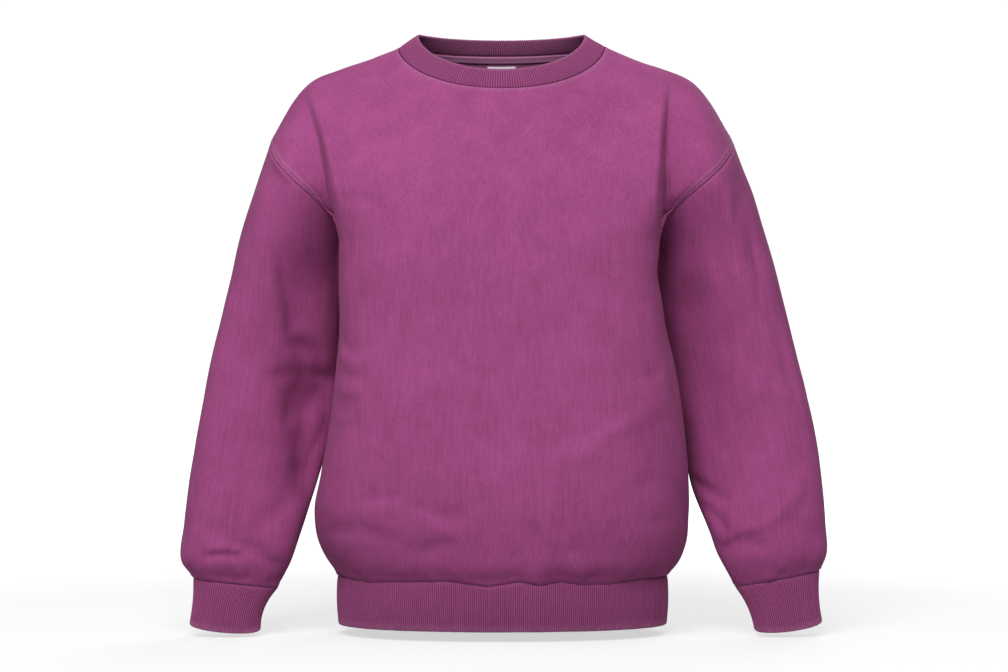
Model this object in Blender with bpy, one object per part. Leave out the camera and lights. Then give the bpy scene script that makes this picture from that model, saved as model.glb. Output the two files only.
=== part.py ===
"""A crewneck sweatshirt in its worn, filled-out shape with nobody in it.

Ten cut pieces, each a closed wall of cloth: front, back, two set-in sleeves, ribbed neckband, two ribbed
cuffs, ribbed hem band, a neck tape and a plain label inside the back neck.
Metres, +Z up. The front faces -Y and the wearer's right side is -X. The origin is the middle of the neck
opening at the height of the neck's side points, where the wearer's shoulders hold the garment up.
Tables are in millimetres.
"""

import bmesh
import bpy
import numpy as np

MM = 0.001

# Cloth
FLEECE = 2.2 * MM
RIB_WALL = 2.6 * MM
RIB_RAISE = 0.9 * MM
TAPE_WALL = 1.0 * MM
LABEL_WALL = 1.0 * MM
SEAM_GAP = 0.3 * MM
BAND_GAP = 0.3 * MM
SLANT_LEAST = 0.4

# Colour and roughness of each cloth
PLUM_FLEECE = ((0.37, 0.075, 0.22), 0.92)
PLUM_RIB = ((0.31, 0.062, 0.18), 0.9)
PLUM_TAPE = ((0.42, 0.12, 0.28), 0.85)
WHITE_LABEL = ((0.82, 0.8, 0.8), 0.8)

FRONT, BACK = -1, 1
RIGHT, LEFT = -1, 1

# Heights
HEM_EDGE_Z = -680 * MM
HEM_SEAM_Z = -624 * MM
UNDERARM_Z = -234 * MM

# Horizontal rings of the body: height, half width on the wearer's right and left, depth in front and
# behind, how square the ring is in front and behind (2 is an ellipse), and how far the side seams lie in.
BODY = np.array([
    [-624, 191, 194, 128, 121, 2.2, 2.2, 0],
    [-609, 200, 206, 137, 129, 2.3, 2.2, 0],
    [-586, 212, 216, 142, 134, 2.4, 2.3, 0],
    [-550, 218, 219, 146, 136, 2.6, 2.3, 0],
    [-500, 210, 218, 146, 134, 2.8, 2.3, 0],
    [-450, 201, 213, 142, 131, 3.0, 2.4, 1],
    [-390, 195, 205, 137, 129, 3.3, 2.4, 3],
    [-330, 189, 191, 132, 128, 3.7, 2.5, 6],
    [-275, 187.5, 179.5, 128, 129, 4.1, 2.5, 8],
    [-234, 187, 181, 124, 131, 4.3, 2.5, 8],
]) * [MM, MM, MM, MM, MM, 1, 1, MM]
NIP_HALF = 36 * MM
BODY_ROWS = [-624, -613, -597, -571, -524, -452, -378, -303]

# The seam between body and hem band rises and falls along the front: place across, lift.
HEM_WAVE = np.array([
    [-190, 3], [-150, -1], [-110, 1], [-62, 3], [-16, -3], [19, 3], [45, -1], [66, 3], [90, -1], [125, -1],
    [158, 3], [190, 2],
]) * MM
HEM_WAVE_REACH = 30 * MM

# Loops of the neck: half width; y at front, side and back; z at front, side and back.
NECK_SEAM = np.array([121, -80, 3, 78, -60, 0, -8]) * MM
NECK_MIDDLE = np.array([107.5, -73.5, 3, 74, -47, 8, -1]) * MM
NECK_EDGE = np.array([97.5, -64, 4, 69, -36, 13.5, 10]) * MM
NECK_TURN = 0.2

# The ridge of the shoulder from the neck seam out to the armhole: share of the way, x, z.
SHOULDER = np.array([
    [0.19, 155, -20.5], [0.38, 191, -32.5], [0.55, 220, -45.5], [0.72, 242, -69], [0.86, 257, -93.5],
    [1.00, 270, -116.5],
]) * [1, MM, MM]
NECK_SHARE = 0.4

# How far a panel's lines of cloth run straight: up from the chest, and down from the top line.
CHEST_REACH = 84 * MM
TOP_REACH = 58 * MM
# Which way they leave the top line, from the middle of the neck (0) by its side point to the armhole (1):
# share, out, ahead and down.
TOP_LEAN = {
    FRONT: np.array([
        [0, 0, 0.57, 0.82], [0.2, 0.35, 0.62, 0.68], [0.4, 0.6, 0.62, 0.42], [0.6, 0.35, 0.85, 0.3],
        [0.8, 0.08, 1, 0.1], [1, 0, 1, 0],
    ]),
    BACK: np.array([
        [0, 0, 0.62, 0.78], [0.2, 0.35, 0.66, 0.58], [0.4, 0.6, 0.72, 0.15], [0.6, 0.35, 0.92, 0.12],
        [0.8, 0.08, 1, 0.05], [1, 0, 1, 0],
    ]),
}
UNDERARM_LIFT = 0.48
SHOULDER_DROP = 0.31
SLOPE_STEP = 5 * MM
# How far a line is evened out with its neighbours, and their places and weights
EVEN_REACH = 0.16
EVEN = [(-1, 0.1), (-0.66, 0.15), (-0.33, 0.17), (0, 0.16), (0.33, 0.17), (0.66, 0.15), (1, 0.1)]
ARMHOLE_BOW = np.array([0.81, 0, -0.59]) * 3.6 * MM

# Rings of each sleeve, armhole to cuff seam: place along, outer x and z, inner x and z, half depth, and y of
# the outer and inner points. The inner side lies against the body, a little behind its widest line.
SLEEVES = {
    RIGHT: np.array([
        [0.00, -270, -116.5, -179, -234, 85, 0, 0],
        [0.11, -291, -182, -190, -256, 75, -1, 10],
        [0.21, -306, -234, -190, -287, 69, -3, 32],
        [0.34, -323, -304, -190.5, -337, 63, -6, 46],
        [0.47, -338, -370, -195, -396, 59, -10, 44],
        [0.60, -350, -434, -203, -456, 57, -15, 36],
        [0.73, -361, -498, -217, -518, 54, -21, 14],
        [0.86, -368.5, -560, -234, -574, 49, -27, -20],
        [0.95, -370, -605, -247, -611, 41, -32, -32],
        [1.00, -357, -624, -259, -635, 28, -34, -34],
    ]) * [1, MM, MM, MM, MM, MM, MM, MM],
    LEFT: np.array([
        [0.00, 270, -116.5, 173, -234, 85, 0, 0],
        [0.11, 295, -182, 188, -250, 77, -1, 4],
        [0.21, 311, -234, 185, -287, 69, -3, 32],
        [0.34, 329, -304, 190, -337, 63, -6, 46],
        [0.47, 346, -370, 202, -396, 59, -10, 44],
        [0.60, 361, -434, 213, -456, 57, -15, 36],
        [0.73, 371, -498, 222, -518, 54, -21, 14],
        [0.86, 376.5, -560, 242, -574, 49, -27, -20],
        [0.95, 376.5, -598, 255, -607, 41, -32, -32],
        [1.00, 369, -615, 270.5, -633.5, 28, -34, -34],
    ]) * [1, MM, MM, MM, MM, MM, MM, MM],
}
ARMHOLE_FADE = 0.24
SLEEVE_ROWS = [0, 0.06, 0.13, 0.21, 0.30, 0.40, 0.51, 0.62, 0.73, 0.82, 0.89, 0.94, 0.975, 1]

# Rings of each cuff below its seam, in the same columns without the place along. Each ring tips: its
# front hangs lower than its back by a share of its depth.
CUFFS = {
    RIGHT: np.array([
        [-357, -647, -273.5, -656, 24.5, -36, -36],
        [-361, -677, -279, -684, 22, -38, -38],
    ]) * MM,
    LEFT: np.array([
        [367, -643, 284.5, -656, 24.5, -36, -36],
        [371, -674, 293, -684, 22, -38, -38],
    ]) * MM,
}
CUFF_TIPS = [0.12, 0.26]

# Hem band: its lower ring in the body table's columns without the height.
HEM_EDGE = np.array([190, 192.5, 118, 112, 2.2, 2.15, 0]) * [MM, MM, MM, MM, 1, 1, MM]

# Largest folds, on the side they face: from x, z to x, z, bow across the line, half width on each side of
# it (the second is on the side of higher x for a line that runs down), and depth out of the cloth (ridges)
# or into it (troughs).
FOLDS = [
    (FRONT, -236, -250, -226, -470, 8, 24, 24, -7),
    (FRONT, 220, -280, 234, -430, -6, 20, 26, -8),
    (FRONT, 262, -250, 290, -430, 5, 30, 30, 5),
    (BACK, -206, -100, -188, -262, -5, 26, 16, -15),
    (BACK, 206, -100, 188, -262, 5, 16, 26, -15),
    (BACK, -176, -100, -158, -262, -5, 32, 32, 6),
    (BACK, 176, -100, 158, -262, 5, 32, 32, 6),
    (BACK, -60, -205, 70, -250, 12, 34, 34, -4),
    (BACK, -268, -330, -300, -470, 8, 26, 26, -6),
    (BACK, 278, -330, 306, -470, -8, 26, 26, -6),
]
FOLD_FADE = 0.22

# The front's cloth hangs over at each armhole: folds in the same columns that go straight back into the
# garment, steep on the side of the chest.
TUCKS = [
    (FRONT, -224, -62, -194, -300, -7, 30, 26, -16),
    (FRONT, 199, -66, 182, -300, -3, 20, 26, -22),
]
TUCK_FADE = 0.4

# Counts
SHOULDER_CELLS = 7
NECK_CELLS = {FRONT: 14, BACK: 12}
ARMHOLE_CELLS = 12
BAND_RIBS = {"hem_band": 420, "cuff_right": 88, "cuff_left": 88, "neckband": 220}
LOOP_TURNS = np.linspace(0, 2 * np.pi, 241)[:-1]
HALF_RING = np.linspace(-1, 1, 121)

# Inside the back neck: where the tape lies between the first two rows of the back, and the label's
# half width, depth under the seam and height
TAPE_SHARES = (0.08, 0.5)
LABEL_HALF = 17 * MM
LABEL_TOP = 12 * MM
LABEL_HEIGHT = 42 * MM
LABEL_ROWS = 4


def read_table(table, where):
    """Values of a table's columns, smooth between its rows, at one value of its first column."""
    knots, values = table[:, 0], table[:, 1:]
    slopes = np.gradient(values, knots, axis=0)
    row = int(np.clip(np.searchsorted(knots, where, side="right") - 1, 0, len(knots) - 2))
    span = knots[row + 1] - knots[row]
    t = (where - knots[row]) / span
    start = values[row] * (2 * t**3 - 3 * t**2 + 1) + slopes[row] * span * (t**3 - 2 * t**2 + t)
    end = values[row + 1] * (3 * t**2 - 2 * t**3) + slopes[row + 1] * span * (t**3 - t**2)
    return start + end


def ease(value, low, high):
    """0 below low, 1 above high, and a soft step between."""
    t = np.clip((value - low) / (high - low), 0, 1)
    return t * t * (3 - 2 * t)


def bump(distance, middle, half_width):
    return np.exp(-(((distance - middle) / half_width) ** 2))


def unit(vectors):
    return vectors / np.maximum(np.linalg.norm(vectors, axis=-1, keepdims=True), 1e-12)


def curve(start, start_pull, end_pull, end, steps):
    """Points of a cubic curve at the given steps from 0 to 1."""
    t = np.asarray(steps)[:, None]
    return (
        start * (1 - t) ** 3
        + start_pull * 3 * t * (1 - t) ** 2
        + end_pull * 3 * t**2 * (1 - t)
        + end * t**3
    )


def length_shares(line):
    """How far along a polyline each of its points lies, from 0 to 1."""
    steps = np.r_[0, np.cumsum(np.linalg.norm(np.diff(line, axis=0), axis=1))]
    return steps / steps[-1]


def along(line, shares, values=None):
    """Points of a polyline, or other values given at its points, at shares of its length."""
    values = line if values is None else values
    steps = length_shares(line)
    return np.stack([np.interp(shares, steps, values[:, axis]) for axis in range(3)], axis=1)


def looped(loop):
    return np.vstack([loop, loop[:1]])


def quarter(side, facing, half, depth, square, nip, height, shares):
    """A quarter of a body ring, from the middle (share 0) to the side (share 1), evenly spaced."""
    turn = np.linspace(0, np.pi / 2, 121)
    fine = np.stack([
        side * half * np.sin(turn) ** (2 / square),
        facing * depth * np.cos(turn) ** (2 / square),
        np.full_like(turn, height),
    ], axis=1)
    fine[:, 0] -= side * nip * bump(fine[:, 1], 0, NIP_HALF)
    return along(fine, shares)


def body_half(facing, section, height, shares):
    """Front or back half of a body ring for shares from -1 (wearer's right) to 1 (left)."""
    right, left, front, back, square_front, square_back, nip = section
    depth, square = (front, square_front) if facing == FRONT else (back, square_back)
    size = np.abs(shares)
    on_right = quarter(RIGHT, facing, right, depth, square, nip, height, size)
    on_left = quarter(LEFT, facing, left, depth, square, nip, height, size)
    return np.where((np.asarray(shares) < 0)[:, None], on_right, on_left)


def neck_loop(loop, turns):
    """Points of a neck loop for turns from the front middle (0) by the left side to the back (pi)."""
    half, y_front, y_side, y_back, z_front, z_side, z_back = loop
    cos = np.cos(turns)
    ahead = (cos + np.sqrt(cos**2 + NECK_TURN**2)) / 2
    behind = (-cos + np.sqrt(cos**2 + NECK_TURN**2)) / 2
    return np.stack([
        half * np.sin(turns),
        y_side + (y_front - y_side) * ahead + (y_back - y_side) * behind,
        z_side + (z_front - z_side) * ahead + (z_back - z_side) * behind,
    ], axis=1)


def top_point(facing, share):
    """Where one upright line of a panel ends: on the neck seam or on the shoulder ridge."""
    side = -1 if share < 0 else 1
    if abs(share) <= NECK_SHARE:
        turn = share / NECK_SHARE * np.pi / 2
        return neck_loop(NECK_SEAM, np.array([turn if facing == FRONT else np.pi - turn]))[0]
    neck_point = neck_loop(NECK_SEAM, np.array([np.pi / 2]))[0]
    ridge = np.vstack([[0, neck_point[0], neck_point[2]], SHOULDER])
    part = (abs(share) - NECK_SHARE) / (1 - NECK_SHARE)
    x, z = read_table(ridge, part)
    return np.array([side * x, neck_point[1] * (1 - part), z])


def ring_pull(side, facing, depth, lift=0, bow=0, tip=0):
    """How a half ring leaves its inner or outer point: forward or back, and a little up, out or down."""
    return (np.array([0, facing, lift + facing * tip]) * depth + ARMHOLE_BOW * [side, 1, 1] * bow) * 4 / 3


def upper_lines(facing, shares, steps):
    """Upright lines of a panel from the underarm's height up to the neck and shoulders."""
    feet = body_half(facing, read_table(BODY, UNDERARM_Z), UNDERARM_Z, shares)
    below = UNDERARM_Z - SLOPE_STEP
    rise = (feet - body_half(facing, read_table(BODY, below), below, shares)) / SLOPE_STEP
    depth = SLEEVES[RIGHT][0, 5]
    columns = []
    for share, start, up in zip(shares, feet, rise * CHEST_REACH):
        side = ease(abs(share), 0.5, 1)
        hand = -1 if share < 0 else 1
        lean = read_table(TOP_LEAN[facing], abs(share)) * [hand, facing, -1]
        start_pull = up * (1 - side) + ring_pull(hand, facing, depth, UNDERARM_LIFT, 1) * side
        end_pull = unit(lean) * TOP_REACH * (1 - side)
        end_pull += ring_pull(hand, facing, depth, -SHOULDER_DROP, 1) * side
        end = top_point(facing, share)
        columns.append(curve(start, start + start_pull, end + end_pull, end, steps))
    return np.stack(columns, axis=1)


def panel(facing, shares, body_rows, steps):
    """Front or back panel: rows from the hem seam up the body, then up to the neck and shoulders. Between
    its ends each upper line is evened out with its neighbours, so no crease runs down from the neck."""
    lower = [body_half(facing, read_table(BODY, z), z, shares) for z in body_rows]
    spread = np.minimum(EVEN_REACH, (1 - np.abs(shares)) / 2)
    even = sum(weight * upper_lines(facing, shares + spread * place, steps) for place, weight in EVEN)
    blend = (ease(steps, 0, 0.3) * (1 - ease(steps, 0.72, 1)))[:, None, None]
    upper = upper_lines(facing, shares, steps) * (1 - blend) + even * blend
    points = np.concatenate([np.stack(lower), upper[1:]])
    if facing == FRONT:
        drop = np.clip((points[..., 2] - HEM_SEAM_Z) / HEM_WAVE_REACH, 0, 1)
        lift = np.interp(points[..., 0], HEM_WAVE[:, 0], HEM_WAVE[:, 1])
        points[..., 2] += lift * (1 - drop) * ease(-points[..., 1], 0, 40 * MM)
    return points


def sleeve_ring(side, row, steps, armhole=0, tip=0):
    """One closed ring of a sleeve: inner point, round the front to the outer point, round the back.
    The first ring is the armhole, and its form fades out of those that follow."""
    x_outer, z_outer, x_inner, z_inner, depth, y_outer, y_inner = row
    outer = np.array([x_outer, y_outer, z_outer])
    inner = np.array([x_inner, y_inner, z_inner])
    halves = []
    for facing in (FRONT, BACK):
        inner_pull = ring_pull(side, facing, depth, UNDERARM_LIFT * armhole, armhole, tip)
        outer_pull = ring_pull(side, facing, depth, -SHOULDER_DROP * armhole, armhole, tip)
        halves.append(curve(inner, inner + inner_pull, outer + outer_pull, outer, steps))
    return np.concatenate([halves[0], halves[1][-2:0:-1]])


def sleeve(side, rows, steps):
    return np.stack([
        sleeve_ring(side, read_table(SLEEVES[side], place), steps, 1 - ease(place, 0, ARMHOLE_FADE))
        for place in rows
    ])


def closed(points, ring):
    """The grid with its first column repeated at the end where it is a ring."""
    return np.concatenate([points, points[:, :1]], axis=1) if ring else points


def corner_normals(grid):
    """At each corner of a grid's cells, the way that the cell faces, as long as its angle there."""
    cells = [grid[:-1, :-1], grid[:-1, 1:], grid[1:, 1:], grid[1:, :-1]]
    for k in range(4):
        to_next, to_last = unit(cells[(k + 1) % 4] - cells[k]), unit(cells[k - 1] - cells[k])
        angle = np.arccos(np.clip(np.sum(to_next * to_last, axis=-1, keepdims=True), -1, 1))
        yield cells[k], unit(np.cross(to_next, to_last)) * angle


def point_keys(points):
    return [tuple(key) for key in np.round(points / (0.01 * MM)).astype(int).reshape(-1, 3)]


def outward(pieces):
    """Normals at the points of several grids, shared where two pieces meet at a seam."""
    sums = {}
    for points, ring, flip in pieces.values():
        for corners, normals in corner_normals(closed(points, ring)):
            for key, normal in zip(point_keys(corners), normals.reshape(-1, 3)):
                sums[key] = sums.get(key, 0) + normal * flip
    return {
        name: unit(np.array([sums[key] for key in point_keys(points)])).reshape(points.shape)
        for name, (points, _, _) in pieces.items()
    }


def fold_push(points, normals, table, reach=FOLD_FADE):
    """How far the folds of a table move each point out of the cloth."""
    push = np.zeros(points.shape[:-1])
    flat = points[..., [0, 2]]
    for facing, x0, z0, x1, z1, bow, lower, higher, depth in table:
        start, end = np.array([x0, z0]) * MM, np.array([x1, z1]) * MM
        line = end - start
        length = np.linalg.norm(line)
        down = line / length
        aside = np.array([-down[1], down[0]])
        place = (flat - start) @ down / length
        bend = 4 * bow * MM * place * (1 - place)
        off = (flat - start) @ aside - bend
        off = off / (np.where(off < 0, lower, higher) * MM)
        fade = ease(place, -reach / 2, reach) * (1 - ease(place, 1 - reach, 1 + reach / 2))
        facing_it = ease(facing * normals[..., 1], 0.05, 0.45)
        push += depth * MM * np.exp(-(off**2)) * fade * facing_it
    return push


def folded(pieces):
    normals = outward(pieces)
    made = {}
    for name, (points, ring, flip) in pieces.items():
        push = fold_push(points, normals[name], FOLDS)[..., None] * normals[name]
        push[..., 1] += fold_push(points, normals[name], TUCKS, TUCK_FADE) * FRONT
        made[name] = (points + push, ring, flip)
    return made


def step_in(edge, neighbour, out, ring, half):
    """The move of a seam edge's points towards their neighbours that opens half a gap across the seam. The
    cut through the wall runs along the seam and out of the cloth."""
    inward = unit(neighbour - edge)
    run = np.roll(edge, -1, axis=0) - np.roll(edge, 1, axis=0) if ring else np.gradient(edge, axis=0)
    slant = np.abs(np.sum(inward * unit(np.cross(run, out)), axis=-1, keepdims=True))
    return inward * half / np.maximum(slant, SLANT_LEAST)


def drawn_back(points, normals, ring, seams, half=SEAM_GAP / 2):
    """Which way each point of a grid's seam edges moves to open half of the gap to its neighbour."""
    move = np.zeros_like(points)
    if "first_row" in seams:
        move[0] += step_in(points[0], points[1], normals[0], ring, half)
    if "last_row" in seams:
        move[-1] += step_in(points[-1], points[-2], normals[-1], ring, half)
    if "columns" in seams:
        move[:, 0] += step_in(points[:, 0], points[:, 1], normals[:, 0], False, half)
        move[:, -1] += step_in(points[:, -1], points[:, -2], normals[:, -1], False, half)
    return move


def add_solid(name, verts, faces, cloth):
    """A closed, outward-facing mesh object with its own material of a cloth's colour and roughness."""
    colour, roughness = cloth
    mesh = bpy.data.meshes.new(name)
    bm = bmesh.new()
    made = [bm.verts.new(v) for v in verts]
    for face in faces:
        bm.faces.new([made[i] for i in face])
    bmesh.ops.recalc_face_normals(bm, faces=bm.faces)
    bmesh.ops.triangulate(bm, faces=bm.faces)
    bm.to_mesh(mesh)
    bm.free()
    material = bpy.data.materials.new(name)
    material.use_nodes = True
    shader = material.node_tree.nodes["Principled BSDF"]
    shader.inputs["Base Color"].default_value = (*colour, 1)
    shader.inputs["Roughness"].default_value = roughness
    shader.inputs["Metallic"].default_value = 0
    mesh.materials.append(material)
    bpy.context.scene.collection.objects.link(bpy.data.objects.new(name, mesh))


def grid_faces(rows, columns, offset, ring):
    """Quads of a grid of points numbered row by row."""
    count = columns if ring else columns - 1
    quads = []
    for i in range(rows - 1):
        for j in range(count):
            k = (j + 1) % columns
            corners = (i * columns + j, i * columns + k, (i + 1) * columns + k, (i + 1) * columns + j)
            quads.append([offset + corner for corner in corners])
    return quads


def edge_faces(outer, inner):
    """Quads between two open lines with as many points each."""
    pairs = list(zip(outer, inner))
    return [[a, b, d, c] for (a, c), (b, d) in zip(pairs, pairs[1:])]


def ring_faces(outer, outer_at, inner, inner_at):
    """Triangles between two closed lines, whose points are given with their places from 0 to 1."""
    ends = [(place, True) for place in [*outer_at[1:], 1]]
    ends += [(place, False) for place in [*inner_at[1:], 1]]
    i = j = 0
    faces = []
    for _, on_outer in sorted(ends, key=lambda end: (end[0], not end[1])):
        here, there = outer[i % len(outer)], inner[j % len(inner)]
        if on_outer:
            i += 1
            faces.append([here, outer[i % len(outer)], there])
        else:
            j += 1
            faces.append([here, inner[j % len(inner)], there])
    return faces


def add_wall(name, outer, inner, cloth, places=None):
    """A wall between an outer and an inner grid. A ring also has places, from 0 to 1, of the columns of
    both grids, which may differ in number."""
    rows, wide = outer.shape[:2]
    narrow = inner.shape[1]
    offset = rows * wide
    ring = places is not None
    faces = grid_faces(rows, wide, 0, ring) + grid_faces(rows, narrow, offset, ring)
    for row in (0, rows - 1):
        outer_row = [row * wide + j for j in range(wide)]
        inner_row = [offset + row * narrow + j for j in range(narrow)]
        if ring:
            faces += ring_faces(outer_row, places[0], inner_row, places[1])
        else:
            faces += edge_faces(outer_row, inner_row)
    if not ring:
        for column in (0, wide - 1):
            outer_line = [i * wide + column for i in range(rows)]
            inner_line = [offset + i * narrow + column for i in range(rows)]
            faces += edge_faces(outer_line, inner_line)
    add_solid(name, np.concatenate([outer.reshape(-1, 3), inner.reshape(-1, 3)]), faces, cloth)


def add_panel(name, piece, normals, seams):
    points, ring, _ = piece
    move = drawn_back(points, normals, ring, seams)
    columns = np.arange(points.shape[1]) / points.shape[1]
    places = (columns, columns) if ring else None
    add_wall(name, points + move, points - normals * FLEECE + move, PLUM_FLEECE, places)


def band_guide(loops):
    """The band with its points at those of the seam that carries it."""
    shares = length_shares(looped(loops[0]))[:-1]
    return np.stack([loops[0], *[along(looped(loop), shares) for loop in loops[1:]]])


def add_band(name, loops, flip, guide, guide_normals, ribs):
    """A ribbed band through closed loops: ribs stand out of its outer points, and its inside is plain.
    Its first row is mitred with the piece that it is sewn to, by the normals that both have there."""
    shares = np.arange(2 * ribs) / (2 * ribs)
    plain = np.stack([along(looped(loop), shares) for loop in loops])
    normals = outward({name: (plain, True, flip)})[name]
    normals[0] = unit(along(looped(loops[0]), shares, looped(guide_normals[0])))
    raised = np.where(np.arange(2 * ribs) % 2 == 0, RIB_RAISE, 0)[None, :, None]
    outer = plain + normals * (raised - RIB_RAISE / 2)
    outer += drawn_back(plain, normals, True, ["first_row"], BAND_GAP)
    inner = guide - guide_normals * RIB_WALL
    inner += drawn_back(guide, guide_normals, True, ["first_row"], BAND_GAP)
    add_wall(name, outer, inner, PLUM_RIB, (shares, length_shares(looped(loops[0]))[:-1]))


def neck_columns(facing):
    """Shares of the upright lines of a panel: shoulder, neck, shoulder."""
    left = np.linspace(NECK_SHARE, 1, SHOULDER_CELLS + 1)
    neck = np.linspace(-NECK_SHARE, NECK_SHARE, NECK_CELLS[facing] + 1)
    return np.concatenate([-left[::-1], neck[1:-1], left])


def neck_cells(facing):
    return slice(SHOULDER_CELLS, SHOULDER_CELLS + NECK_CELLS[facing] + 1)


def joined_loop(front, back):
    """A closed loop from the front middle by the left side and the back to the start."""
    middle = len(front) // 2
    return np.concatenate([front[middle:], back[-2::-1], front[1:middle]])


def hem_edge():
    halves = [body_half(facing, HEM_EDGE, HEM_EDGE_Z, HALF_RING) for facing in (FRONT, BACK)]
    return joined_loop(*halves)


def add_tape(back, normals):
    """Tape over the back neck seam, laid on the inside of the back panel just under the neckband."""
    columns = neck_cells(BACK)
    top, below = back[-1, columns], back[-2, columns]
    top_out, below_out = normals[-1, columns], normals[-2, columns]
    rows, outs = [], []
    for share in TAPE_SHARES:
        rows.append(top + (below - top) * share)
        outs.append(unit(top_out + (below_out - top_out) * share))
    rows, outs = np.stack(rows), np.stack(outs)
    face = rows - outs * (FLEECE + SEAM_GAP)
    add_wall("neck_tape", face, face - outs * TAPE_WALL, PLUM_TAPE)


def add_label(back, normals):
    """A plain label on the inside of the back panel, in the middle under the tape."""
    middle = SHOULDER_CELLS + NECK_CELLS[BACK] // 2
    columns = [middle - 1, middle, middle + 1]
    lines, outs = [], []
    depths = LABEL_TOP + LABEL_HEIGHT * np.arange(LABEL_ROWS + 1) / LABEL_ROWS
    for column in columns:
        line = back[::-1, column]
        steps = np.r_[0, np.cumsum(np.linalg.norm(np.diff(line, axis=0), axis=1))]
        lines.append(np.stack([np.interp(depths, steps, line[:, a]) for a in range(3)], axis=1))
        out = normals[::-1, column]
        outs.append(np.stack([np.interp(depths, steps, out[:, a]) for a in range(3)], axis=1))
    grid, out = np.stack(lines, axis=1), unit(np.stack(outs, axis=1))
    for edge, inner in ((0, 1), (2, 1)):
        width = np.abs(grid[:, edge, 0] - grid[:, inner, 0])[:, None]
        grid[:, edge] = grid[:, inner] + (grid[:, edge] - grid[:, inner]) * LABEL_HALF / width
        out[:, edge] = unit(out[:, inner] + (out[:, edge] - out[:, inner]) * LABEL_HALF / width)
    face = grid - out * (FLEECE + 2 * SEAM_GAP)
    add_wall("label", face, face - out * LABEL_WALL, WHITE_LABEL)


def main():
    for thing in list(bpy.data.objects):
        bpy.data.objects.remove(thing, do_unlink=True)

    steps = np.linspace(0, 1, ARMHOLE_CELLS + 1)
    body_rows = [z * MM for z in BODY_ROWS] + [UNDERARM_Z]
    pieces = folded({
        "front": (panel(FRONT, neck_columns(FRONT), body_rows, steps), False, 1),
        "back": (panel(BACK, neck_columns(BACK), body_rows, steps), False, -1),
        "sleeve_right": (sleeve(RIGHT, SLEEVE_ROWS, steps), True, 1),
        "sleeve_left": (sleeve(LEFT, SLEEVE_ROWS, steps), True, -1),
    })
    front, back = pieces["front"][0], pieces["back"][0]
    bands = {
        "hem_band": [joined_loop(front[0], back[0]), hem_edge()],
        "neckband": [
            joined_loop(front[-1, neck_cells(FRONT)], back[-1, neck_cells(BACK)]),
            neck_loop(NECK_MIDDLE, LOOP_TURNS),
            neck_loop(NECK_EDGE, LOOP_TURNS),
        ],
    }
    for name, side in (("right", RIGHT), ("left", LEFT)):
        rings = [sleeve_ring(side, row, steps, 0, tip) for row, tip in zip(CUFFS[side], CUFF_TIPS)]
        bands[f"cuff_{name}"] = [pieces[f"sleeve_{name}"][0][-1], *rings]
    flips = {"hem_band": -1, "neckband": 1, "cuff_right": 1, "cuff_left": -1}
    guides = {name: (band_guide(loops), True, flips[name]) for name, loops in bands.items()}
    normals = outward({**pieces, **guides})

    for name in ("front", "back"):
        add_panel(name, pieces[name], normals[name], ["first_row", "last_row", "columns"])
    for name in ("sleeve_right", "sleeve_left"):
        add_panel(name, pieces[name], normals[name], ["first_row", "last_row"])
    for name, ribs in BAND_RIBS.items():
        add_band(name, bands[name], flips[name], guides[name][0], normals[name], ribs)
    add_tape(back, normals["back"])
    add_label(back, normals["back"])


main()
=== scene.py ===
"""The looks of a crewneck sweatshirt in its worn, filled-out shape with nobody in it.

Each cut piece is a fine shell on the form of its solid, with its folds, seams, gathers and stitches, and
each band is knitted in ribs. Metres, +Z up. The front faces -Y and the wearer's right side is -X.
Tables are in millimetres.
"""

import bpy
import numpy as np
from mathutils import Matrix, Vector

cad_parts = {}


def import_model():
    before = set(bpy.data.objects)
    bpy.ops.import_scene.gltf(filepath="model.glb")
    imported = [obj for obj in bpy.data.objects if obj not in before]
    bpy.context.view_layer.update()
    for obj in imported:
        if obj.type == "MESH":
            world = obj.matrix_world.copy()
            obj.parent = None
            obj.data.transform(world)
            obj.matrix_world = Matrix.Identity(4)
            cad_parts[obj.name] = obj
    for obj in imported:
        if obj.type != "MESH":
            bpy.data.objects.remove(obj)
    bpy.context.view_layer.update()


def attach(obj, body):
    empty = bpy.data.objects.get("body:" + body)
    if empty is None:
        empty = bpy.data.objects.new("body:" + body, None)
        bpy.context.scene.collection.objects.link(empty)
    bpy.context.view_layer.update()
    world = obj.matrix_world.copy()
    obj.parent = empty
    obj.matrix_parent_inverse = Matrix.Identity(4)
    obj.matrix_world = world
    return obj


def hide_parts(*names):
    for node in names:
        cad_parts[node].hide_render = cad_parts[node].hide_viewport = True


MM = 0.001

# Cloth
FLEECE = 2.2 * MM
RIB_WALL = 2.6 * MM
RIB_RAISE = 0.9 * MM
TRIM_WALL = 1.0 * MM
SEAM_GAP = 0.3 * MM
# A cut that slants through the wall by less than this counts as this
SLANT_LEAST = 0.4

FRONT, BACK = -1, 1
RIGHT, LEFT = -1, 1
RIGHT_SIDE, LEFT_SIDE = -2, 2

# Heights
HEM_EDGE_Z = -680 * MM
HEM_SEAM_Z = -624 * MM
UNDERARM_Z = -234 * MM

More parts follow.
